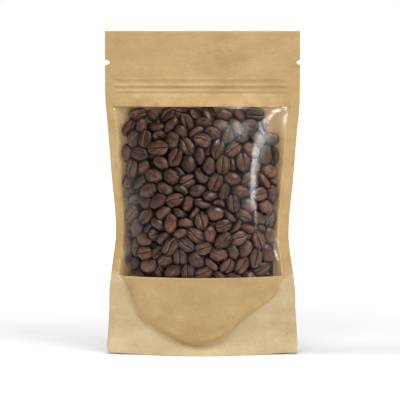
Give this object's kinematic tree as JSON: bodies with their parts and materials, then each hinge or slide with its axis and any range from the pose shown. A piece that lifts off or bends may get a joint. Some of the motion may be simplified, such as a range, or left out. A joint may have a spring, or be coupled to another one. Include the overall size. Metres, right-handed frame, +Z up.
{
  "type": "coffee bag",
  "caption": "Filled stand-up kraft paper coffee bag with a clear front window, roasted beans inside, a press-to-close strip, tear notches and a bottom gusset.",
  "frame": {"origin": "bottom centre of the bag, on the ground it stands on", "axes": "+Z up, X along the bag's width, the window faces -Y"},
  "size_m": [0.11, 0.0379, 0.183],
  "materials": {
    "kraft_paper": "matt brown kraft paper with fine fibres",
    "clear_film": "thin glossy clear film",
    "roasted_coffee": "roasted coffee beans with a soft shine"
  },
  "bodies": {
    "root": {"kraft_pouch": "kraft_paper", "window_film": "clear_film", "coffee_beans": "roasted_coffee"}
  },
  "joints": []
}
